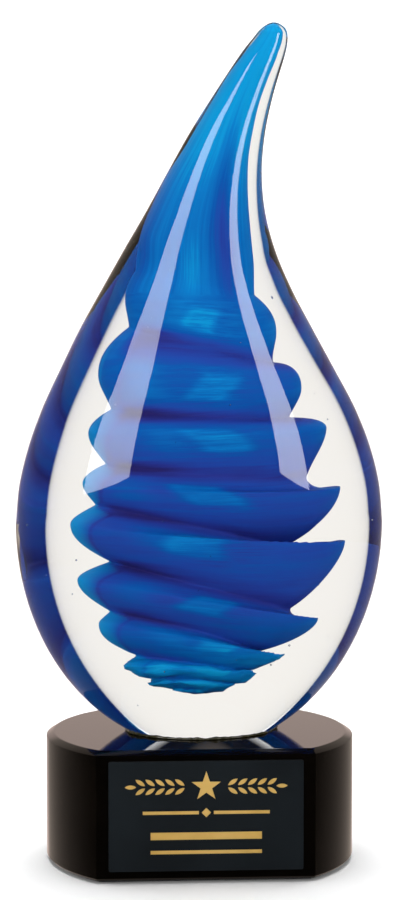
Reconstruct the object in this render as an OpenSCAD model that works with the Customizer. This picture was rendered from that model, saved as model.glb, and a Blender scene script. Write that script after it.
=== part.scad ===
// Twisted-core raindrop award. Millimetres, +Z up, X to the right, -Y towards the plate.
// The origin is the centre of the base's round outline, on the surface it stands on.

/* [Base] */
// diameter of the round outline
base_dia = 95;           // [90:0.5:100]
// height of the glass block
base_height = 38.2;      // [34:0.1:40]
// distance from the round's centre to the front flat
flat_depth = 34.8;       // [33:0.1:37]
// width of the top bevel, seen from above
bevel_width = 2.1;       // [1:0.1:3]
// height of the top bevel
bevel_height = 1.3;      // [0.8:0.1:2]
// width and height of the small bevel round the bottom
foot_bevel = 0.6;        // [0.3:0.1:1.5]

/* [Drop] */
// widest half-width of the glass drop
drop_half_width = 57.3;  // [54:0.1:60]
// height of the widest point above the foot
belly_height = 64.3;     // [62:0.1:66]
// height radius of the round lower half
belly_radius = 70;       // [68:0.5:72]
// height radius of the lower half, seen from the side
depth_radius = 83;       // [80:0.5:90]
// turn of the drop on its base, degrees
drop_turn = 6;           // [0:1:10]

/* [Twisted core] */
// front-to-back depth of the core's thread beside its width
core_flatness = 0.56;    // [0.48:0.01:0.58]
// front-to-back depth of the core's tip beside its width
core_tip_flatness = 0.74; // [0.6:0.02:0.8]
// how far the pointed crests on the right turn up
tip_lift = 2.4;          // [0:0.1:2.6]

/* [Plate] */
// plate width
plate_width = 57.4;      // [50:0.2:60]
// plate height
plate_height = 32.6;     // [28:0.2:33]
// corner radius of the plate
plate_corner = 0.6;      // [0.4:0.1:2]
// thickness of the brass sheet
brass_thick = 0.5;       // [0.4:0.1:1]
// thickness of the double-sided tape
tape_thick = 0.2;        // [0.1:0.05:0.4]
// thickness of the black coating
coating_thick = 0.08;    // [0.05:0.01:0.15]

/* [Joints and felt] */
// thickness of the adhesive under the drop
glue_thick = 0.3;        // [0.2:0.1:0.5]
// thickness of the felt
felt_thick = 1;          // [0.5:0.1:1.5]
// felt inset from the block's lower edge
felt_inset = 2;          // [1:0.5:5]

/* [Hidden] */
$fn = 96;
base_top = felt_thick + base_height;
foot_z = base_top + glue_thick;
base_radius = base_dia / 2;

// Upper drop: height above the foot, half-width, half-depth, sideways offset of the centre
shoulder = [
    [64.3, 57.3, 28.6, 0.5], [76, 56.2, 28.4, 0.5], [88, 53.2, 28, 0.4], [100, 48.5, 27.4, 0.1],
    [112, 42.4, 26, -0.4], [124, 36.1, 23.6, -0.8], [136, 29.5, 20.4, -0.7],
    [148, 23.5, 16.7, 0.1], [160, 18.4, 13.4, 2], [172, 14.6, 10.8, 4.8], [184, 11.7, 8.8, 8.7],
    [196, 9.2, 7.1, 13.8], [208, 7, 5.6, 19.6], [213, 5.5, 4.6, 22], [216, 4, 3.4, 23],
    [217.7, 1.8, 1.6, 23.2], [218.2, 0, 0, 23.2]];

// Thread of the core, every half turn on the left and the right by turns: groove height above
// the foot, groove half-width, half-width of the crest below it, how far down that crest lies on
// the way to the next groove on its side, and how far it turns up to a point (below 0: how
// square it is)
turns = [
    [157, 13, 15.8, 0.5, 0], [147, 13.2, 13.6, 0.5, 0],
    [139, 17, 20, 0.57, 0], [132, 13.7, 19.8, 0.58, 0],
    [122, 19.3, 28, 0.62, 0], [111.5, 19, 27.3, 0.5, -0.6],
    [98, 25, 31.5, 0.46, 0], [95.5, 24, 35, 0.2, -0.6],
    [82, 27, 33.5, 0.5, 0], [78, 29.5, 39.5, 0.34, 1.5],
    [70, 30, 37, 0.36, 0], [57.5, 23.5, 41, 0.22, 2.2],
    [53.5, 26, 35, 0.37, 0], [39, 25, 33, 0.4, 0.9],
    [39, 26, 29, 0.28, 0], [26, 14.5, 23, 0.45, 0.9],
    [26, 18.5, 21.5, 0.4, 0], [20, 12, 15.5, 0.5, 0.8],
    [19, 14, 14.5, 0.5, 0], [17, 9, 9.5, 0.5, 0.5],
    [15.5, 8, 7, 0.5, 0], [14.5, 5, 5, 0.5, 0]];
// Smooth neck above it: height, half-width to the left and to the right, sideways offset
neck = [
    [139, 17, 13.7, 0], [146, 16.3, 13.3, 0], [153, 14.9, 12.6, 0.3], [161, 12.9, 11.1, 1.5],
    [169, 11.1, 9.2, 3.5], [177, 9, 7.4, 6], [185, 7.1, 6.5, 8.5], [193, 5.6, 5.6, 11.5],
    [201, 4.7, 4.9, 15.2], [209, 3.5, 3.8, 19.6], [214.5, 2.5, 2.6, 22.5],
    [216.2, 1.4, 1.4, 22.9], [216.8, 0, 0, 23]];
core_foot = 14.5;
core_tip = neck[len(neck) - 1];

function lerp(a, b, s) = a + (b - a) * s;
function smooth(s) = s * s * (3 - 2 * s);
function ease(s) = (1 - cos(180 * s)) / 2;
function clamp(v, lo, hi) = max(lo, min(hi, v));
function spline(p, i, s) = let(
    a = p[max(i - 1, 0)], b = p[i], c = p[i + 1], d = p[min(i + 2, len(p) - 1)])
    0.5 * (2 * b + (c - a) * s + (2 * a - 5 * b + 4 * c - d) * s * s
        + (3 * b - a - 3 * c + d) * s * s * s);
function along(p, i, steps) = let(n = min(floor(i / steps), len(p) - 2))
    spline(p, n, i / steps - n);

// Drop rings from the foot to just under the tip, in the shoulder's columns
drop_sides = 48;
belly_rings = 14;
shoulder_steps = 2;
foot_angle = asin(belly_height / belly_radius);
drop_rings = concat(
    [for (i = [0:belly_rings - 1]) let(
        a = foot_angle * (1 - i / belly_rings),
        fall = belly_radius * sin(a))
        [belly_height - fall, drop_half_width * cos(a),
            shoulder[0][2] * sqrt(1 - pow(fall / depth_radius, 2)), shoulder[0][3]]],
    [for (i = [0:(len(shoulder) - 1) * shoulder_steps - 1]) along(shoulder, i, shoulder_steps)]);
drop_tip = shoulder[len(shoulder) - 1];
function ring(c, sides) = [for (j = [0:sides - 1]) let(a = 360 * j / sides)
    [c[3] - c[1] * cos(a), -c[2] * sin(a), c[0]]];

// A column of the thread's table at t turns; q is the turn fraction: 0 left, 0.25 front, 0.5 right
GROOVE_Z = 0;
GROOVE_W = 1;
CREST_W = 2;
CREST_AT = 3;
HOOKED = 4;
function at_half(column, t) = let(i = clamp(floor(t * 2 + 2), 0, len(turns) - 2))
    lerp(turns[i][column], turns[i + 1][column], ease(clamp(t * 2 + 2 - i, 0, 1)));
function turn_at(q, h, t) = t > 9 || at_half(GROOVE_Z, t + 1) <= h ? t : turn_at(q, h, t + 1);

// Each of these gives a half-width, a sideways offset and a lift
function thread(t, h) = let(
    top = at_half(GROOVE_Z, t),
    bottom = at_half(GROOVE_Z, t + 1),
    u = clamp((top - h) / max(top - bottom, 0.01), 0, 1),
    peak = at_half(CREST_AT, t),
    hooked = at_half(HOOKED, t),
    s = u < peak ? u / peak : (1 - u) / (1 - peak),
    round = sin(90 * s),
    bulge = u > peak ? round : hooked < 0 ? pow(round, 1 + hooked)
        : lerp(round, pow(s, 1.7), min(hooked, 1)),
    floor_r = lerp(at_half(GROOVE_W, t), at_half(GROOVE_W, t + 1), u))
    [lerp(floor_r, at_half(CREST_W, t), bulge), 0, tip_lift * max(hooked, 0) * pow(bulge, 1.8)];
function neck_row(h, i = 0) = i >= len(neck) - 2 || neck[i + 1][0] > h
    ? spline(neck, i, clamp((h - neck[i][0]) / (neck[i + 1][0] - neck[i][0]), 0, 1))
    : neck_row(h, i + 1);
function neck_at(q, h) = let(n = neck_row(max(h, neck[0][0])))
    [lerp(n[1], n[2], ease(2 * min(q, 1 - q))), n[3], 0];

// The first turn grows out of the neck over fade millimetres
fade = 8;
function core_at(q, h) = let(below = at_half(GROOVE_Z, q - 1) - h, t = turn_at(q, h, q - 1))
    below <= 0 ? neck_at(q, h)
    : lerp(neck_at(q, h), thread(t, h),
        t > q - 1 ? 1 : max(smooth(clamp(below / fade, 0, 1)), smooth(q)));
function core_ring(h, sides) = let(
    flat = lerp(core_flatness, core_tip_flatness, smooth(clamp((h - neck[0][0]) / 40, 0, 1))))
    [for (j = [0:sides - 1]) let(q = j / sides, p = core_at(q, h))
        [p[1] - p[0] * cos(360 * q), -p[0] * flat * sin(360 * q), h + p[2]]];

core_sides = 36;
thread_rings = 72;
neck_rings = 18;
core_heights = concat(
    [for (i = [0:thread_rings - 1]) lerp(core_foot, neck[0][0], i / thread_rings)],
    [for (i = [0:neck_rings]) lerp(neck[0][0], core_tip[0] - 0.3, sin(90 * i / neck_rings))]);

// Skin over a stack of rings, closed below by a flat face or a point and above by a point
module skin(rings, top) {
    sides = len(rings[0]);
    last = len(rings) - 1;
    walls = [for (i = [0:last - 1], j = [0:sides - 1]) let(
        a = i * sides + j, b = i * sides + (j + 1) % sides, c = b + sides, d = a + sides)
        each [[a, c, b], [a, d, c]]];
    cap = [for (j = [0:sides - 1]) [last * sides + j, (last + 1) * sides,
        last * sides + (j + 1) % sides]];
    polyhedron(concat([for (r = rings) each r], [top]),
        concat([[for (j = [0:sides - 1]) j]], walls, cap));
}

module core_shape() {
    skin([for (h = core_heights) core_ring(h, core_sides)], [core_tip[3], 0, core_tip[0]]);
}

module on_foot() {
    translate([0, 0, foot_z]) rotate([0, 0, drop_turn]) children();
}

module crystal_casing() {
    color([0.93, 0.96, 0.97, 0.35])
    on_foot() difference() {
        skin([for (r = drop_rings) ring(r, drop_sides)], [drop_tip[3], 0, drop_tip[0]]);
        core_shape();
    }
}

module twisted_core() {
    color([0.02, 0.2, 0.62])
    on_foot() core_shape();
}

module glue_joint() {
    color([0.25, 0.25, 0.16])
    translate([0, 0, base_top]) rotate([0, 0, drop_turn]) linear_extrude(glue_thick)
        polygon([for (p = ring(drop_rings[0], drop_sides)) [p[0], p[1]]]);
}

module base_outline(inset) {
    intersection() {
        circle(r = base_radius - inset);
        translate([-base_dia, inset - flat_depth]) square([2 * base_dia, 2 * base_dia]);
    }
}

// Round block cut by the front flat, with a flat bevel round the top and a small one at the foot
module base_block() {
    color([0.03, 0.03, 0.035])
    translate([0, 0, felt_thick]) intersection() {
        union() {
            cylinder(h = foot_bevel, r1 = base_radius - foot_bevel, r2 = base_radius);
            translate([0, 0, foot_bevel])
                cylinder(h = base_height - foot_bevel - bevel_height, r = base_radius);
            translate([0, 0, base_height - bevel_height])
                cylinder(h = bevel_height, r1 = base_radius, r2 = base_radius - bevel_width);
        }
        rotate([90, 0, 90]) translate([0, 0, -base_dia]) linear_extrude(2 * base_dia)
            polygon([
                [base_dia, 0], [foot_bevel - flat_depth, 0], [-flat_depth, foot_bevel],
                [-flat_depth, base_height - bevel_height],
                [bevel_width - flat_depth, base_height], [base_dia, base_height]]);
    }
}

module rounded_plate() {
    square([plate_width - 2 * plate_corner, plate_height], center = true);
    square([plate_width, plate_height - 2 * plate_corner], center = true);
    for (sx = [-1, 1], sz = [-1, 1])
        translate([sx * (plate_width / 2 - plate_corner), sz * (plate_height / 2 - plate_corner)])
            circle(r = plate_corner);
}

// A layer of the plate, standing on the front flat
module plate_layer(gap, thick) {
    translate([0, -flat_depth - gap, felt_thick + base_height / 2])
        rotate([90, 0, 0]) linear_extrude(thick) children();
}

module star(outer, inner) {
    polygon([for (i = [0:9]) let(r = i % 2 == 0 ? outer : inner)
        [r * sin(36 * i), r * cos(36 * i)]]);
}

module leaf(len, wide) {
    r = (len * len + wide * wide) / (4 * wide);
    intersection() {
        translate([len / 2, wide / 2 - r]) circle(r = r);
        translate([len / 2, r - wide / 2]) circle(r = r);
    }
}

// Sprig that grows to the right from the origin, with leaves in pairs
module sprig(pairs, step) {
    for (i = [0:pairs - 1], side = [-1, 1])
        translate([i * step, side * 0.35]) rotate([0, 0, side * 34]) leaf(3.4, 1.25);
    translate([pairs * step - 0.3, 0]) leaf(3.4, 1.25);
}

function row_y(row) = plate_height / 2 - [7.6, 15.3, 22.2, 27][row];

// Star between two sprigs over a line with a diamond, and two plain lines
module motif() {
    translate([0, row_y(0)]) star(4.6, 1.8);
    for (side = [0, 1]) mirror([side, 0]) {
        translate([6.4, row_y(0)]) sprig(5, 2.9);
        translate([2.2, row_y(1) - 0.5]) square([16.5, 1]);
    }
    translate([0, row_y(1)]) rotate([0, 0, 45]) square(2, center = true);
    translate([-16.4, row_y(2) - 1.1]) square([32.8, 2.2]);
    translate([-16.4, row_y(3) - 0.55]) square([32.8, 1.1]);
}

module plate_tape() {
    color([0.75, 0.72, 0.62])
    plate_layer(0, tape_thick) square([plate_width - 2, plate_height - 2], center = true);
}

module plate_brass() {
    color([0.85, 0.66, 0.33])
    plate_layer(tape_thick, brass_thick) rounded_plate();
}

module plate_coating() {
    color([0.06, 0.07, 0.09])
    plate_layer(tape_thick + brass_thick, coating_thick) difference() {
        rounded_plate();
        motif();
    }
}

module felt_pad() {
    color([0.05, 0.05, 0.05])
    linear_extrude(felt_thick) base_outline(foot_bevel + felt_inset);
}

crystal_casing();
twisted_core();
glue_joint();
base_block();
plate_tape();
plate_brass();
plate_coating();
felt_pad();
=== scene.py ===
import math
import random

import bmesh
import bpy
from mathutils import Matrix, Vector, noise


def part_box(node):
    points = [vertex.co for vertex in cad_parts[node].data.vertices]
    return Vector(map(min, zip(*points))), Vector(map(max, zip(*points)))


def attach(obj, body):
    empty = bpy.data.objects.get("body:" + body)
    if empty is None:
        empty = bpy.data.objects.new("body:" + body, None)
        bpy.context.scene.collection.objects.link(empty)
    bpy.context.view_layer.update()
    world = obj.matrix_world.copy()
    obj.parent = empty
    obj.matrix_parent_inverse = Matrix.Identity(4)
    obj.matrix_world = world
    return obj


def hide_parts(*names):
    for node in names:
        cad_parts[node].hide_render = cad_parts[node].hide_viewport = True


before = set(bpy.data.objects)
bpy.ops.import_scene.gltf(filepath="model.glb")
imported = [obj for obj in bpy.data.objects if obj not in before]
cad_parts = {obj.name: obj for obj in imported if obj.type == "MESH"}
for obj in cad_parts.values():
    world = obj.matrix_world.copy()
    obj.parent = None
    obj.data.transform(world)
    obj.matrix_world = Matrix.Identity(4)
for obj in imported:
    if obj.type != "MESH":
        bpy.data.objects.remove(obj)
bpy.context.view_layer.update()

MM = 0.001
TAU = 2 * math.pi

# ---------------------------------------------------------------- sizes, as in the CAD model, in mm
FOOT_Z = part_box("crystal_casing")[0][2] / MM
BLOCK_LO, BLOCK_HI = (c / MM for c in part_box("base_block"))
DROP_TURN = math.radians(6)
DROP_HALF_WIDTH, BELLY_HEIGHT, BELLY_RADIUS, DEPTH_RADIUS = 57.3, 64.3, 70.0, 83.0
CORE_FLAT, CORE_TIP_FLAT = 0.56, 0.74       # the core's depth as a share of its width
FLAT_CHANGE = 140, 180                      # the heights between which it goes over
BASE_RADIUS, FLAT_DEPTH = 47.5, 34.8
BEVEL_WIDTH, BEVEL_HEIGHT = 2.1, 1.3
FOOT_BEVEL = 0.6
RIM_ROUNDING = 0.18

# height above the foot, half-width, half-depth, sideways offset of the centre
SHOULDER = [
    (64.3, 57.3, 28.6, 0.5), (76, 56.2, 28.4, 0.5), (88, 53.2, 28, 0.4), (100, 48.5, 27.4, 0.1),
    (112, 42.4, 26, -0.4), (124, 36.1, 23.6, -0.8), (136, 29.5, 20.4, -0.7), (148, 23.5, 16.7, 0.1),
    (160, 18.4, 13.4, 2), (172, 14.6, 10.8, 4.8), (184, 11.7, 8.8, 8.7), (196, 9.2, 7.1, 13.8),
    (208, 7, 5.6, 19.6), (213, 5.5, 4.6, 22), (216, 4, 3.4, 23), (217.7, 1.8, 1.6, 23.2),
    (218.2, 0, 0, 23.2)]

# The core's thread, every half turn, on the left and the right by turns: groove height above the
# foot, groove half-width, half-width of the crest below it, how far down that crest lies on the
# way to the next groove on its side, and how far it turns up to a point (below 0: how square)
THREAD = [
    (157, 13, 15.8, 0.5, 0), (147, 13.2, 13.6, 0.5, 0),
    (139, 17, 20, 0.57, 0), (132, 13.7, 19.8, 0.58, 0),
    (122, 19.3, 28, 0.62, 0), (111.5, 19, 27.3, 0.5, -0.6),
    (98, 25, 31.5, 0.46, 0), (95.5, 24, 35, 0.2, -0.6),
    (82, 27, 33.5, 0.5, 0), (78, 29.5, 39.5, 0.34, 1.5),
    (70, 30, 37, 0.36, 0), (57.5, 23.5, 41, 0.22, 2.2),
    (53.5, 26, 35, 0.37, 0), (39, 25, 33, 0.4, 0.9),
    (39, 26, 29, 0.28, 0), (26, 14.5, 23, 0.45, 0.9),
    (26, 18.5, 21.5, 0.4, 0), (20, 12, 15.5, 0.5, 0.8),
    (19, 14, 14.5, 0.5, 0), (17, 9, 9.5, 0.5, 0.5),
    (15.5, 8, 7, 0.5, 0), (14.5, 5, 5, 0.5, 0)]
GROOVE_Z, GROOVE_W, CREST_W, CREST_AT, HOOKED = zip(*THREAD)
# Smooth neck above it: height, half-width to the left and to the right, sideways offset
NECK = [
    (139, 17, 13.7, 0), (146, 16.3, 13.3, 0), (153, 14.9, 12.6, 0.3), (161, 12.9, 11.1, 1.5),
    (169, 11.1, 9.2, 3.5), (177, 9, 7.4, 6), (185, 7.1, 6.5, 8.5), (193, 5.6, 5.6, 11.5),
    (201, 4.7, 4.9, 15.2), (209, 3.5, 3.8, 19.6), (214.5, 2.5, 2.6, 22.5),
    (216.2, 1.4, 1.4, 22.9), (216.8, 0, 0, 23)]
CORE_FOOT = 14.5
TIP_LIFT = 2.4      # how far the sharpest lobe tips turn up
THREAD_FADE = 8     # how far below its first groove the thread is fully formed
RAGGED_FOOT = 1.8   # how uneven the core's lower end is
END_GLOW_WIDTH = 3.6    # how wide the painted glow is at the thin left end of a lobe

SEED_BUBBLES = 46


# ---------------------------------------------------------------- small maths
def lerp(a, b, s):
    return a + (b - a) * s


def clamp(v, lo=0.0, hi=1.0):
    return max(lo, min(hi, v))


def smooth(s):
    s = clamp(s)
    return s * s * (3 - 2 * s)


def spline(points, t):
    """Catmull-Rom through the points, at t counted in points."""
    i = min(int(t), len(points) - 2)
    s = t - i
    a, b, c, d = (points[max(0, min(len(points) - 1, i + k))] for k in (-1, 0, 1, 2))
    return tuple(
        0.5 * (2 * q + (r - p) * s + (2 * p - 5 * q + 4 * r - w) * s * s
               + (3 * q - p - 3 * r + w) * s ** 3)
        for p, q, r, w in zip(a, b, c, d))


def rise(value, lo, hi):
    """0 at lo and 1 at hi, smooth between them and level beyond; lo may be the larger."""
    return smooth((value - lo) / (hi - lo))


def ease(s):
    return (1 - math.cos(math.pi * clamp(s))) / 2


def bell(value, middle, reach):
    """1 at the middle, falling smoothly to 0 at reach on either side."""
    return 1 - smooth(abs(value - middle) / reach)


def noisy(x, y, z, octaves=3):
    return noise.fractal(Vector((x, y, z)), 1.0, 2.0, octaves)


# ---------------------------------------------------------------- meshes
def new_piece(name, verts, faces, material, slot):
    mesh = bpy.data.meshes.new(name)
    mesh.from_pydata([tuple(c * MM for c in v) for v in verts], [], faces)
    mesh.validate()
    mesh.materials.append(material)
    mesh.polygons.foreach_set("use_smooth", [True] * len(mesh.polygons))
    mesh.update()
    piece = bpy.data.objects.new(name, mesh)
    bpy.context.scene.collection.objects.link(piece)
    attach(piece, "root")
    return piece


def bands(rings):
    """The faces between neighbouring rings of equally many points."""
    n = len(rings[0])
    faces = []
    for i in range(len(rings) - 1):
        for j in range(n):
            a, b = i * n + j, i * n + (j + 1) % n
            faces.append((a, b, b + n, a + n))
    return faces


def skin(rings, tip, floor=None):
    """Vertices and faces of a closed skin over rings, from the bottom up. It ends in a point at
    the top, and at the bottom in one flat face, or in a fan round the point called floor."""
    n = len(rings[0])
    verts = [v for ring in rings for v in ring] + [tip]
    faces = bands(rings)
    top, last = len(verts) - 1, (len(rings) - 1) * n
    faces += [(last + j, last + (j + 1) % n, top) for j in range(n)]
    if floor is None:
        faces.append(tuple(range(n - 1, -1, -1)))
    else:
        verts.append(floor)
        faces += [((j + 1) % n, j, len(verts) - 1) for j in range(n)]
    return verts, faces


def turned(v, lift=FOOT_Z):
    """A point of the drop, turned with it on the block and lifted to its foot."""
    c, s = math.cos(DROP_TURN), math.sin(DROP_TURN)
    return v[0] * c - v[1] * s, v[0] * s + v[1] * c, v[2] + lift


# ---------------------------------------------------------------- node helpers
class Graph:
    """A node tree, with short calls for the nodes used here."""

    def __init__(self, tree):
        self.tree = tree

    def node(self, kind, settings=None, **inputs):
        n = self.tree.nodes.new(kind)
        for key, value in (settings or {}).items():
            setattr(n, key, value)
        for key, value in inputs.items():
            self.put(n.inputs[key.replace("_", " ")], value)
        return n

    def put(self, socket, value):
        if isinstance(value, bpy.types.NodeSocket):
            self.tree.links.new(value, socket)
        else:
            socket.default_value = value

    def coords(self, scale=(1, 1, 1)):
        texture = self.node("ShaderNodeTexCoord")
        mapping = self.node("ShaderNodeMapping", Vector=texture.outputs["Object"])
        mapping.inputs["Scale"].default_value = scale
        return mapping.outputs[0]

    def attribute(self, name, output="Fac"):
        return self.node("ShaderNodeAttribute", {"attribute_name": name}).outputs[output]

    def noise(self, vector, scale, detail=4.0, roughness=0.55, distortion=0.0):
        return self.node("ShaderNodeTexNoise", Vector=vector, Scale=scale, Detail=detail,
                         Roughness=roughness, Distortion=distortion).outputs["Fac"]

    def math(self, operation, a, b=0.0):
        n = self.tree.nodes.new("ShaderNodeMath")
        n.operation = operation
        self.put(n.inputs[0], a)
        self.put(n.inputs[1], b)
        return n.outputs[0]

    def spread(self, value, lo, hi, to_lo=0.0, to_hi=1.0):
        """The value's place between lo and hi, carried over to between to_lo and to_hi."""
        n = self.tree.nodes.new("ShaderNodeMapRange")
        for i, v in enumerate((value, lo, hi, to_lo, to_hi)):
            self.put(n.inputs[i], v)
        return n.outputs[0]

    def ramp(self, value, stops):
        n = self.tree.nodes.new("ShaderNodeValToRGB")
        ramp = n.color_ramp
        while len(ramp.elements) < len(stops):
            ramp.elements.new(0.5)
        for element, (at, colour) in zip(ramp.elements, stops):
            element.position, element.color = at, (*colour, 1)
        self.put(n.inputs[0], value)
        return n.outputs[0]

    def mix(self, factor, a, b):
        """Colour a where the factor is 0, and b where it is 1."""
        n = self.tree.nodes.new("ShaderNodeMix")
        n.data_type = "RGBA"
        self.put(n.inputs[0], factor)
        for socket, value in ((n.inputs[6], a), (n.inputs[7], b)):
            if isinstance(value, bpy.types.NodeSocket):
                self.tree.links.new(value, socket)
            else:
                socket.default_value = (*value, 1)
        return n.outputs[2]


class Surface(Graph):
    """A new material with its Principled shader."""

    def __init__(self, name):
        self.material = bpy.data.materials.new(name)
        self.material.use_nodes = True
        super().__init__(self.material.node_tree)
        self.shader = self.tree.nodes["Principled BSDF"]

    def set(self, **inputs):
        for key, value in inputs.items():
            self.put(self.shader.inputs[key.replace("_", " ")], value)

    def bump(self, height, strength, distance):
        n = self.node("ShaderNodeBump", Height=height, Strength=strength, Distance=distance)
        self.put(self.shader.inputs["Normal"], n.outputs[0])


def srgb(r, g, b):
    def one(c):
        c /= 255
        return c / 12.92 if c <= 0.04045 else ((c + 0.055) / 1.055) ** 2.4
    return one(r), one(g), one(b)


# ---------------------------------------------------------------- materials
def clear_glass():
    g = Surface("clear_glass")
    waves = g.noise(g.coords((1, 1, 0.5)), 28, 2, 0.4)
    ripple = g.noise(g.coords(), 420, 3, 0.6)
    g.bump(g.math("ADD", waves, g.math("MULTIPLY", ripple, 0.05)), 0.04, 0.0006)
    g.set(Base_Color=(0.985, 0.985, 0.975, 1), Roughness=0.0, IOR=1.5,
          Transmission_Weight=1.0)
    return g.material


def blue_glass():
    """The core's glass: a ramp of blues, read at the tone that make_core gives each point, with its
    painted shade and painted highlights, and silky streaks along the thread; hatch is how clear the
    finest ones are. It turns cyan where make_core paints a glow at the thin edges."""
    g = Surface("blue_glass")
    along = g.attribute("along", "Vector")
    tone, painted_edge_glow, hatch = (g.attribute(k) for k in ("tone", "painted_edge_glow", "hatch"))
    silk = g.noise(along, 1.6, 5, 0.6, 0.3)
    threads = g.noise(along, 7.0, 4, 0.65, 0.15)
    drift = g.math("MULTIPLY", g.math("SUBTRACT", silk, 0.5), 0.42)
    lines = g.math("MULTIPLY", g.math("SUBTRACT", threads, 0.5),
                   g.spread(hatch, 0, 1, 0.12, 0.75))
    shade = g.math("ADD", tone, g.math("ADD", drift, lines))
    body = g.ramp(shade, [
        (0.0, srgb(38, 34, 104)), (0.18, srgb(40, 52, 142)), (0.38, srgb(30, 72, 168)),
        (0.55, srgb(1, 88, 174)), (0.72, srgb(0, 108, 188)), (0.88, srgb(0, 128, 202)),
        (1.0, srgb(4, 154, 214))])
    # painted glow: cyan at the thin edges and left ends, standing in for light through the glass
    body = g.mix(painted_edge_glow, body, srgb(0, 138, 202))
    g.bump(silk, 0.15, 0.0004)
    g.set(Base_Color=body, Roughness=g.spread(threads, 0.3, 0.7, 0.45, 0.6),
          Specular_IOR_Level=0.05)
    return g.material


def bubble():
    """Air in the glass: the light bends the other way."""
    g = Surface("bubble")
    mist = g.noise(g.coords(), 500, 2, 0.5)
    g.bump(mist, 0.05, 0.0001)
    g.set(Base_Color=(0.9, 0.9, 0.9, 1), Roughness=0.0, IOR=0.6667, Transmission_Weight=1.0)
    return g.material


def black_glass():
    g = Surface("black_glass")
    where = g.coords()
    haze = g.noise(where, 60, 5, 0.6)
    smears = g.noise(g.coords((1, 1, 0.25)), 22, 3, 0.5)
    g.bump(smears, 0.02, 0.0004)
    body = g.ramp(haze, [(0.3, (0.0008, 0.0006, 0.0004)), (0.7, (0.002, 0.0014, 0.001))])
    g.set(Base_Color=body, Roughness=g.spread(haze, 0.35, 0.7, 0.015, 0.05), IOR=1.5,
          Specular_Tint=(0.14, 0.11, 0.09, 1))
    return g.material


def adhesive():
    g = Surface("adhesive")
    lumps = g.noise(g.coords(), 400, 4, 0.6)
    g.bump(lumps, 0.5, 0.0003)
    g.set(Base_Color=g.ramp(lumps, [(0.3, srgb(34, 33, 20)), (0.7, srgb(84, 78, 52))]),
          Roughness=g.spread(lumps, 0.3, 0.7, 0.12, 0.3))
    return g.material


def tape():
    g = Surface("tape")
    grain = g.noise(g.coords(), 900, 4, 0.6)
    g.bump(grain, 0.2, 0.0001)
    g.set(Base_Color=g.ramp(grain, [(0.3, srgb(188, 180, 150)), (0.7, srgb(222, 216, 190))]),
          Roughness=g.spread(grain, 0.3, 0.7, 0.5, 0.7))
    return g.material


def brass():
    """Gold on the sheet's face, and blackened on its cut edges."""
    g = Surface("brass")
    brushed = g.noise(g.coords((1, 1, 40)), 160, 4, 0.6)
    patina = g.noise(g.coords(), 90, 3, 0.5)
    g.bump(brushed, 0.15, 0.00005)
    gold = g.ramp(patina, [(0.3, srgb(216, 174, 88)), (0.7, srgb(232, 192, 108))])
    normal = g.node("ShaderNodeNewGeometry").outputs["Normal"]
    facing = g.node("ShaderNodeSeparateXYZ", Vector=normal).outputs["Y"]
    front = g.spread(g.math("ABSOLUTE", facing), 0.6, 0.8)
    g.set(Base_Color=g.mix(front, srgb(24, 24, 24), gold),
          Metallic=0.35, Roughness=g.spread(brushed, 0.3, 0.7, 0.3, 0.45))
    return g.material


def black_coating():
    g = Surface("black_coating")
    grain = g.noise(g.coords(), 1400, 3, 0.6)
    drift = g.noise(g.coords(), 45, 3, 0.5)
    g.bump(grain, 0.12, 0.00004)
    g.set(Base_Color=g.ramp(drift, [(0.3, srgb(13, 20, 25)), (0.7, srgb(18, 26, 31))]),
          Roughness=g.spread(grain, 0.3, 0.7, 0.4, 0.55), Specular_IOR_Level=0.12)
    return g.material


def felt():
    g = Surface("felt")
    fibres = g.noise(g.coords((1, 1, 3)), 2600, 6, 0.75, 1.5)
    clumps = g.noise(g.coords(), 260, 3, 0.6)
    g.bump(g.math("ADD", fibres, g.math("MULTIPLY", clumps, 0.6)), 0.9, 0.0003)
    g.set(Base_Color=g.ramp(fibres, [(0.3, srgb(20, 20, 21)), (0.7, srgb(48, 48, 50))]),
          Roughness=0.95, Sheen_Weight=0.4, Sheen_Roughness=0.5)
    return g.material


# ---------------------------------------------------------------- the glass drop
def drop_ring(row, sides=192):
    """The ring of points for one of the rows below."""
    height, width, depth, aside = row
    return [turned((aside - width * math.cos(TAU * j / sides),
                    -depth * math.sin(TAU * j / sides), height)) for j in range(sides)]


def drop_rows(belly=70, steps=10):
    """Height, half-width, half-depth and offset of each ring, from the foot up."""
    foot = math.asin(BELLY_HEIGHT / BELLY_RADIUS)
    rows = []
    for i in range(belly):
        a = foot * (1 - i / belly)
        fall = BELLY_RADIUS * math.sin(a)
        depth = SHOULDER[0][2] * math.sqrt(1 - (fall / DEPTH_RADIUS) ** 2)
        rows.append((BELLY_HEIGHT - fall, DROP_HALF_WIDTH * math.cos(a), depth, SHOULDER[0][3]))
    return rows + [spline(SHOULDER, i / steps) for i in range((len(SHOULDER) - 1) * steps)]


def make_drop(glass, glue):
    """The drop's skin, with the adhesive showing through its ground foot."""
    rows = drop_rows()
    tip = SHOULDER[-1]
    verts, faces = skin([drop_ring(row) for row in rows], turned((tip[3], 0, tip[0])))
    drop = new_piece("crystal_drop", verts, faces, glass, "clear_glass")
    drop.data.materials.append(glue)
    foot = max(drop.data.polygons, key=lambda f: len(f.vertices))
    foot.material_index = 1
    foot.use_smooth = False
    drop.data.set_sharp_from_angle(angle=math.radians(40))
    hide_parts("crystal_casing")


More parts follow.
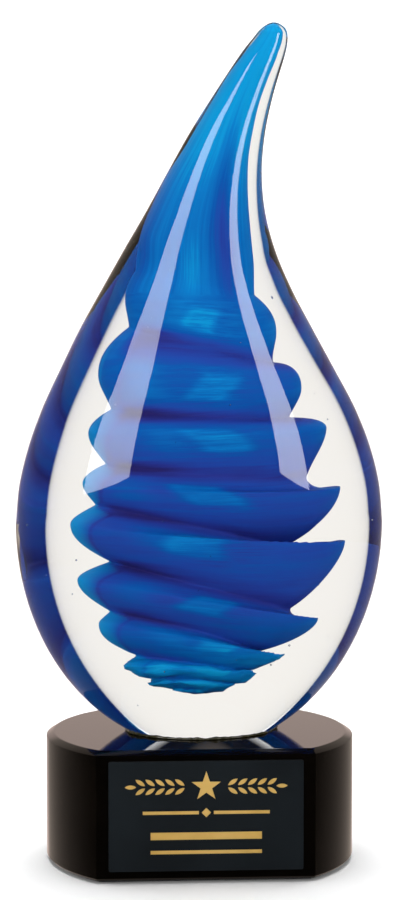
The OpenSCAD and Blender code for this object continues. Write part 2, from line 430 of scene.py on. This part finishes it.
def make_glue(material):
    """The adhesive film, squeezed out into a ragged bead round the foot."""
    foot = FOOT_Z - BLOCK_HI[2]
    _, wide, deep, aside = drop_rows()[0]
    slump = 0.7
    # how far out of the drop's foot, and how high before it slumps
    bead = [(0.3, 0.0), (1.1, 0.15), (1.4, 0.6), (1.2, 1.2), (0.8, 1.7), (-0.9, foot / slump)]
    rings = []
    for out, rise in bead:
        ring = []
        for j in range(360):
            a = TAU * j / 360
            lumps = 0.72 + 0.7 * noisy(2 * math.cos(a), 2 * math.sin(a), 0.3, 2) \
                + 0.3 * noisy(9 * math.cos(a), 9 * math.sin(a), 4.1, 2)
            size = clamp(lumps, 0.25, 1.4) if out > 0 else 1
            reach, level = out * size, rise * slump * size
            ring.append(turned((aside - (wide + reach) * math.cos(a),
                                -(deep + reach) * math.sin(a), level), BLOCK_HI[2]))
        rings.append(ring)
    top, bottom = (turned((aside, 0, z), BLOCK_HI[2]) for z in (foot, 0))
    glue = new_piece("glue_bead", *skin(rings, top, bottom), material, "adhesive")
    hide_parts("glue_joint")


def make_bubbles(material):
    """Seed bubbles, fixed in the clear glass between the core and the surface."""
    draw = random.Random(20)
    rows = drop_rows()
    verts, faces = [], []
    made = 0
    while made < SEED_BUBBLES:
        h, q = draw.uniform(8, 150), draw.random()
        _, wide, deep, aside = [row for row in rows if row[0] <= h][-1]
        share = draw.uniform(0.72, 0.93)
        x, y = -wide * math.cos(TAU * q) * share + aside, -deep * math.sin(TAU * q) * share
        size = draw.choice((0.14, 0.18, 0.22, 0.3))
        if core_reach(h, 2.5) > math.hypot(x, y / CORE_FLAT):
            continue
        made += 1
        base = len(verts)
        ball = bmesh.new()
        bmesh.ops.create_icosphere(ball, subdivisions=2, radius=size)
        ball.verts.ensure_lookup_table()
        verts += [turned((v.co.x + x, v.co.y + y, v.co.z + h)) for v in ball.verts]
        faces += [tuple(base + v.index for v in f.verts) for f in ball.faces]
        ball.free()
    new_piece("seed_bubbles", verts, faces, material, "clear_glass")


# ---------------------------------------------------------------- the twisted core
def at_half(values, t):
    """A thread value at t turns, where the list starts one turn above the top groove."""
    i = max(0, min(int(math.floor(t * 2 + 2)), len(values) - 2))
    return lerp(values[i], values[i + 1], ease(t * 2 + 2 - i))


def thread(q, h):
    """Radius, lift, lobe share and turns below the top groove, at turn fraction q and height h.
    The lobe share is 0 at a groove and 1 at the crest, and below 0 on the lobe's under side."""
    t = q - 1
    while t < 9 and at_half(GROOVE_Z, t + 1) > h:
        t += 1
    top, bottom = at_half(GROOVE_Z, t), at_half(GROOVE_Z, t + 1)
    u = clamp((top - h) / max(top - bottom, 0.01))
    crest_at, hooked = at_half(CREST_AT, t), at_half(HOOKED, t)
    upper = u < crest_at
    s = u / crest_at if upper else (1 - u) / (1 - crest_at)
    shape = math.sin(math.pi / 2 * s)
    if upper:
        shape = shape ** (1 + hooked) if hooked < 0 else lerp(shape, s ** 1.7, min(hooked, 1))
    low = lerp(at_half(GROOVE_W, t), at_half(GROOVE_W, t + 1), u)
    return (lerp(low, at_half(CREST_W, t), shape), TIP_LIFT * max(hooked, 0) * shape ** 1.8,
            s if upper else -s, t + u)


def neck(q, h):
    """Radius and sideways offset above the thread."""
    i = 0
    while i < len(NECK) - 2 and NECK[i + 1][0] < h:
        i += 1
    along = clamp((h - NECK[i][0]) / (NECK[i + 1][0] - NECK[i][0]))
    _, left, right, aside = spline(NECK, i + along)
    return lerp(left, right, ease(2 * min(q, 1 - q))), aside


def core_point(q, h):
    """The core's surface at turn fraction q and height h, with what its colour needs."""
    radius, aside = neck(q, max(h, NECK[0][0]))
    lift, lobe, turns, share = 0.0, 1.0, -1.0, 0.0
    below = at_half(GROOVE_Z, q - 1) - h
    if below > 0:
        low, lift, lobe, turns = thread(q, h)
        share = 1.0 if turns > q - 0.001 else max(smooth(below / THREAD_FADE), smooth(q))
        radius, aside = lerp(radius, low, share), lerp(aside, 0, share)
    flat = lerp(CORE_FLAT, CORE_TIP_FLAT, rise(h, *FLAT_CHANGE))
    x, y = -radius * math.cos(TAU * q), -radius * flat * math.sin(TAU * q)
    return (aside + x, y, h + lift), radius, lobe, turns, share


def core_reach(h, spare):
    """The core's widest radius near a height, and some room to spare."""
    if h > NECK[0][0]:
        return neck(0, h)[0] + spare
    lobe_height, smallest = 24, 6
    return max([w for z, _, w, *_ in THREAD if abs(z - h) < lobe_height] + [smallest]) + spare


def neck_tone(q, h):
    """The smooth neck: brighter to the tip as a painted glow, with a deep upright band of painted
    shade right of the middle, painted shade at its left edge and a patch of painted glow.
    """
    painted_fold_shade = bell(q, lerp(0.325, 0.285, (h - 130) / 50), 0.07) * bell(h, 154, 46)
    left_edge_shade = rise(min(q, 1 - q), 0.11, 0.03) * bell(h, 146, 34)
    glow = bell(q, 0.21, 0.05) * bell(h, 141, 17)
    return lerp(0.74, 1.0, rise(h, 145, 190)) - 0.44 * painted_fold_shade - 0.2 * left_edge_shade + 0.2 * glow


def lobe_tone(q, h, lobe, turns):
    """A lobe: deep, with painted shade on both sides of its groove and painted highlight patches in
    front.
    """
    share = abs(lobe)
    upper = rise(h, 80, 94)
    # deepest at mid height, paler upwards and towards the foot
    tone = lerp(0.38, 0.52, upper) + 0.12 * rise(h, 106, 120)
    tone += 0.16 * rise(h, 40, 30) + 0.34 * rise(h, 29, 21)
    # painted shade along the groove: widest on the first turn, darkest to the left, and stopping
    # short of the left end
    reach = (0.5 if lobe >= 0 else 0.4) + 0.35 * bell(turns, 1.22, 0.45)
    painted_crease_shade = 1 - rise(share, 0, reach)
    painted_crease_shade *= 0.2 + 0.2 * bell(q, 0.12, 0.13) - 0.06 * bell(q, 0.42, 0.12) + 0.14 * upper
    painted_crease_shade *= rise(turns, 0.55, 0.95) * rise(min(q, 1 - q), 0.035, 0.085)
    # painted highlights: one clear patch in the middle and a faint one to its left; and a painted
    # glow at the paler right end
    middle, left = 0.25 + 0.025 * math.sin(5 * turns), 0.16 + 0.03 * math.sin(3 * turns)
    tone += lerp(0.32, 0.26, upper) * smooth(1.5 * bell(q, middle, 0.06)) * rise(share, 0.5, 0.7)
    tone += 0.14 * bell(q, left, 0.06) * rise(share, 0.4, 0.7)
    tone += 0.14 * bell(q, 0.5, 0.1) * rise(share, 0.3, 0.8)
    return lerp(neck_tone(q, h), tone - painted_crease_shade, rise(turns, 0.3, 0.75))


def painted_end_glow(lobe, from_edge):
    """How much painted glow, standing in for light through the thin glass, shows at the left end of
    a lobe, and how much of the darker line inside it. It widens up into the groove above and
    narrows to the one below."""
    share = abs(lobe)
    formed = rise(share, 0, 0.3)
    wide = (END_GLOW_WIDTH + (0.9 if lobe >= 0 else -3) * (1 - share)) * formed
    return clamp(1 - from_edge / max(wide, 0.3)), bell(from_edge, wide + 0.2, 0.9) * formed


def make_core(material):
    """The core's skin. Each point carries its tone, with painted shade and painted highlights in
    it, how much painted glow it shows at its thin edges and left ends (shell), how finely it is
    streaked (hatch), and where it lies along the thread (along)."""
    sides = 320
    # the rings are close together over the thread and at the tip, and wider apart on the neck
    heights = []
    h = CORE_FOOT
    while h < NECK[-1][0] - 0.15:
        heights.append(h)
        h += 0.4 if h < 140 else 0.9 if h < 208 else 0.3
    rings, tone, painted_edge_glow, hatch, along = [], [], [], [], []
    for h in heights:
        row = []
        for j in range(sides):
            q = j / sides
            (x, y, z), radius, lobe, turns, threaded = core_point(q, h)
            ragged = RAGGED_FOOT * rise(h, 30, 16)
            if ragged:
                x += ragged * noisy(x * 0.12, y * 0.12, h * 0.9)
                z += 0.7 * ragged * noisy(x * 0.1 + 9, y * 0.1, h * 0.3)
            row.append(turned((x, y, z)))
            share = abs(lobe)
            from_edge = radius * (1 - abs(math.cos(TAU * q)))
            pale, line = painted_end_glow(lobe, from_edge)
            left_low = rise(h, 122, 112) * (min(q, 1 - q) < 0.25)
            # painted glow: cyan along the thin lobe edges seen side-on, and paler at the thin left
            # ends
            painted_rim_glow = rise(from_edge, 0.25, 0.05) * rise(h, 130, 122) * rise(share, 0.15, 0.65)
            painted_edge_glow.append(max(0.4 * painted_rim_glow, pale * left_low * rise(h, 112, 82)))
            tone.append(lerp(neck_tone(q, h), lobe_tone(q, h, lobe, turns), threaded)
                        - 0.12 * line * left_low)
            if turns > 0.4:
                hatch.append(bell(q, 0.255, 0.11) * rise(share, 0.3, 0.6))
                along.append((0.5 * math.cos(TAU * q), 0.5 * math.sin(TAU * q), turns * 7))
            else:
                hatch.append(0.15 + 0.5 * bell(q, 0.2, 0.09) * bell(h, 144, 12))
                along.append((5 * math.cos(TAU * q), 5 * math.sin(TAU * q), h * 0.008))
        rings.append(row)
    tip = turned((NECK[-1][3], 0, NECK[-1][0]))
    core = new_piece("blue_core", *skin(rings, tip), material, "blue_glass")
    layers = (("tone", tone + [1.0]), ("painted_edge_glow", painted_edge_glow + [0.0]), ("hatch", hatch + [0.0]))
    for name, values in layers:
        layer = core.data.attributes.new(name, "FLOAT", "POINT")
        layer.data.foreach_set("value", values)
    layer = core.data.attributes.new("along", "FLOAT_VECTOR", "POINT")
    layer.data.foreach_set("vector", [c for v in along + [(0, 0, 1.7)] for c in v])
    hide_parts("twisted_core")


# ---------------------------------------------------------------- the base block
def block_outline(inset, count=220):
    """Round outline with its front flat, inset evenly, from the flat's left corner."""
    r, y = BASE_RADIUS - inset, inset - FLAT_DEPTH
    start = math.asin(y / r)
    points = []
    for i in range(count + 1):
        a = start + (math.pi - 2 * start) * i / count
        points.append((r * math.cos(a), r * math.sin(a)))
    return points


def make_block(material):
    """The block, from the inset and height of each ring round it, from the bottom up."""
    lo, hi, soft = BLOCK_LO[2], BLOCK_HI[2], RIM_ROUNDING
    profile = [
        (FOOT_BEVEL + soft + 0.4, lo), (FOOT_BEVEL + soft, lo), (FOOT_BEVEL, lo + 0.02),
        (soft * 0.3, lo + FOOT_BEVEL - soft * 0.3), (0, lo + FOOT_BEVEL + soft),
        (0, hi - BEVEL_HEIGHT - soft), (soft * 0.3, hi - BEVEL_HEIGHT + soft * 0.4),
        (BEVEL_WIDTH - soft * 0.6, hi - soft * 0.4), (BEVEL_WIDTH + soft, hi),
        (BEVEL_WIDTH + soft + 0.4, hi)]
    rows = [[(x, y, z) for x, y in block_outline(inset)] for inset, z in profile]
    n = len(rows[0])
    verts = [v for row in rows for v in row]
    faces = [tuple(range(n - 1, -1, -1))] + bands(rows)
    faces.append(tuple((len(rows) - 1) * n + j for j in range(n)))
    block = new_piece("black_glass_base", verts, faces, material, "black_glass")
    block.data.set_sharp_from_angle(angle=math.radians(18))
    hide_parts("base_block")


# ---------------------------------------------------------------- camera, floor and light
DEEP_NAVY = (0.012, 0.016, 0.03)


def make_camera():
    """The camera that sees the object as the photo does: distance from the object's axis, height
    and sideways shift in mm, and the focal length as a share of the sensor."""
    yaw, pitch = 0.0576, 0.049
    distance, height, aside, focal = 600.0, 155.4, 0.47, 2.15778
    data = bpy.data.cameras.new("camera")
    data.lens = focal * data.sensor_width
    data.clip_start, data.clip_end = 0.01, 50
    camera = bpy.data.objects.new("camera", data)
    bpy.context.scene.collection.objects.link(camera)
    c, s = math.cos(yaw), math.sin(yaw)
    camera.location = Vector((aside * c - distance * s, -aside * s - distance * c, height)) * MM
    camera.rotation_euler = (math.pi / 2 - pitch, 0, -yaw)
    bpy.context.scene.camera = camera


def area_light(name, place, width, height, radiance, roll):
    """An upright panel that faces the object's axis, turned by roll degrees in its own plane. It
    shows only in reflections."""
    data = bpy.data.lights.new(name, "AREA")
    data.shape = "RECTANGLE"
    data.size, data.size_y = width, height
    data.energy = radiance * math.pi * width * height  # the watts that give this radiance
    light = bpy.data.objects.new(name, data)
    bpy.context.scene.collection.objects.link(light)
    light.location = place
    facing = Vector((-place[0], -place[1], 0)).to_track_quat("-Z", "Y").to_matrix()
    light.rotation_euler = (facing @ Matrix.Rotation(math.radians(roll), 3, "Z")).to_euler()
    light.visible_transmission = light.visible_diffuse = False


def make_stage():
    """The pale floor and the two light panels."""
    g = Surface("pale_floor")
    grain = g.noise(g.coords(), 30, 3, 0.5)
    g.set(Base_Color=g.ramp(grain, [(0.3, (0.9, 0.9, 0.9)), (0.7, (0.92, 0.92, 0.92))]),
          Roughness=0.9)
    mesh = bpy.data.meshes.new("floor")
    mesh.from_pydata([(-6, -6, 0), (6, -6, 0), (6, 6, 0), (-6, 6, 0)], [], [(0, 1, 2, 3)])
    mesh.materials.append(g.material)
    floor = bpy.data.objects.new("floor", mesh)
    bpy.context.scene.collection.objects.link(floor)
    floor.visible_glossy = floor.visible_transmission = False

    area_light("left_strip", (-0.492, -0.87, 0.65), 0.4, 1.0, 6.8, 2)
    area_light("right_strip", (0.75, -0.663, 0.57), 0.22, 0.88, 8.0, -6)


def make_world():
    """A white room with a bright cap overhead for the floor; a pale backdrop seen through the
    glass, and the light that reaches the core through it; and, in reflections, a warm wall
    behind that fades to a dark room in front."""
    world = bpy.data.worlds.new("studio")
    bpy.context.scene.world = world
    world.use_nodes = True
    g = Graph(world.node_tree)
    where = g.node("ShaderNodeTexCoord").outputs["Generated"]
    split = g.node("ShaderNodeSeparateXYZ", Vector=where)
    deep, up = split.outputs["Y"], split.outputs["Z"]
    ray = g.node("ShaderNodeLightPath").outputs
    # what is seen through the glass: navy low at the sides, bright above, pale front and back
    warm, pale = (0.86, 0.68, 0.61), (1.0, 0.975, 0.935)
    high = g.spread(up, 0.4, 0.65)
    seen_up = g.mix(high, DEEP_NAVY, (2.4, 2.4, 2.4))
    across = g.math("ABSOLUTE", split.outputs["X"])
    open_view = g.math("MAXIMUM", g.spread(g.math("ABSOLUTE", deep), 0.45, 0.65),
                       g.spread(across, 0.93, 0.97))
    seen = g.mix(open_view, seen_up, pale)
    # the same after a mirroring inside the glass
    upward = g.math("MULTIPLY", g.spread(deep, 0.8, 0.9), g.spread(up, 0.02, 0.06))
    mirrored = g.mix(upward, DEEP_NAVY, (0.62, 0.54, 0.47))
    mirrored = g.mix(g.spread(deep, 0.45, 0.65), seen_up, mirrored)
    seen = g.mix(g.math("GREATER_THAN", ray["Glossy Depth"], 0.5), seen, mirrored)
    # the light on the core: from the sides, above, below and in front
    lit = g.mix(high, (0.5, 0.5, 0.5), (2.2, 2.2, 2.2))
    lit = g.mix(g.spread(up, -0.2, -0.5), lit, (1.1, 1.1, 1.1))
    lit = g.mix(g.spread(deep, -0.2, -0.35), lit, (1.5, 1.5, 1.5))
    through = g.mix(g.math("GREATER_THAN", ray["Diffuse Depth"], 0.5), seen, lit)
    # what the surfaces reflect, and what lights the floor
    wall = g.ramp(g.spread(deep, -1, 1), [
        (0.3, (0.03, 0.03, 0.032)), (0.5, (0.12, 0.1, 0.085)), (0.62, (0.24, 0.2, 0.17)),
        (0.86, (0.42, 0.35, 0.3)), (0.95, (0.5, 0.42, 0.36)), (0.97, warm)])
    room = g.mix(g.spread(up, 0.4, 0.55), (1.5, 1.5, 1.5), (0.3, 0.3, 0.3))
    cap_tilt = math.radians(12)
    overhead = g.math("ADD", g.math("MULTIPLY", up, math.cos(cap_tilt)),
                      g.math("MULTIPLY", deep, math.sin(cap_tilt)))
    room = g.mix(g.spread(overhead, 0.9, 0.94), room, (7.5, 7.5, 7.5))
    colour = g.mix(ray["Is Diffuse Ray"], (1.5, 1.5, 1.5), room)
    colour = g.mix(ray["Is Glossy Ray"], colour, wall)
    colour = g.mix(ray["Is Transmission Ray"], colour, through)
    g.put(g.tree.nodes["Background"].inputs["Color"], colour)


# ---------------------------------------------------------------- put together
scene = bpy.context.scene
scene.view_settings.view_transform = "Standard"
make_camera()
make_stage()
make_world()
glue = adhesive()
make_drop(clear_glass(), glue)
make_glue(glue)
make_core(blue_glass())
make_bubbles(bubble())
make_block(black_glass())
for node, material in (("plate_tape", tape()), ("plate_brass", brass()),
                       ("plate_coating", black_coating()), ("felt_pad", felt())):
    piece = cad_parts[node]
    for spot in piece.material_slots:
        spot.link = "OBJECT"
        spot.material = material
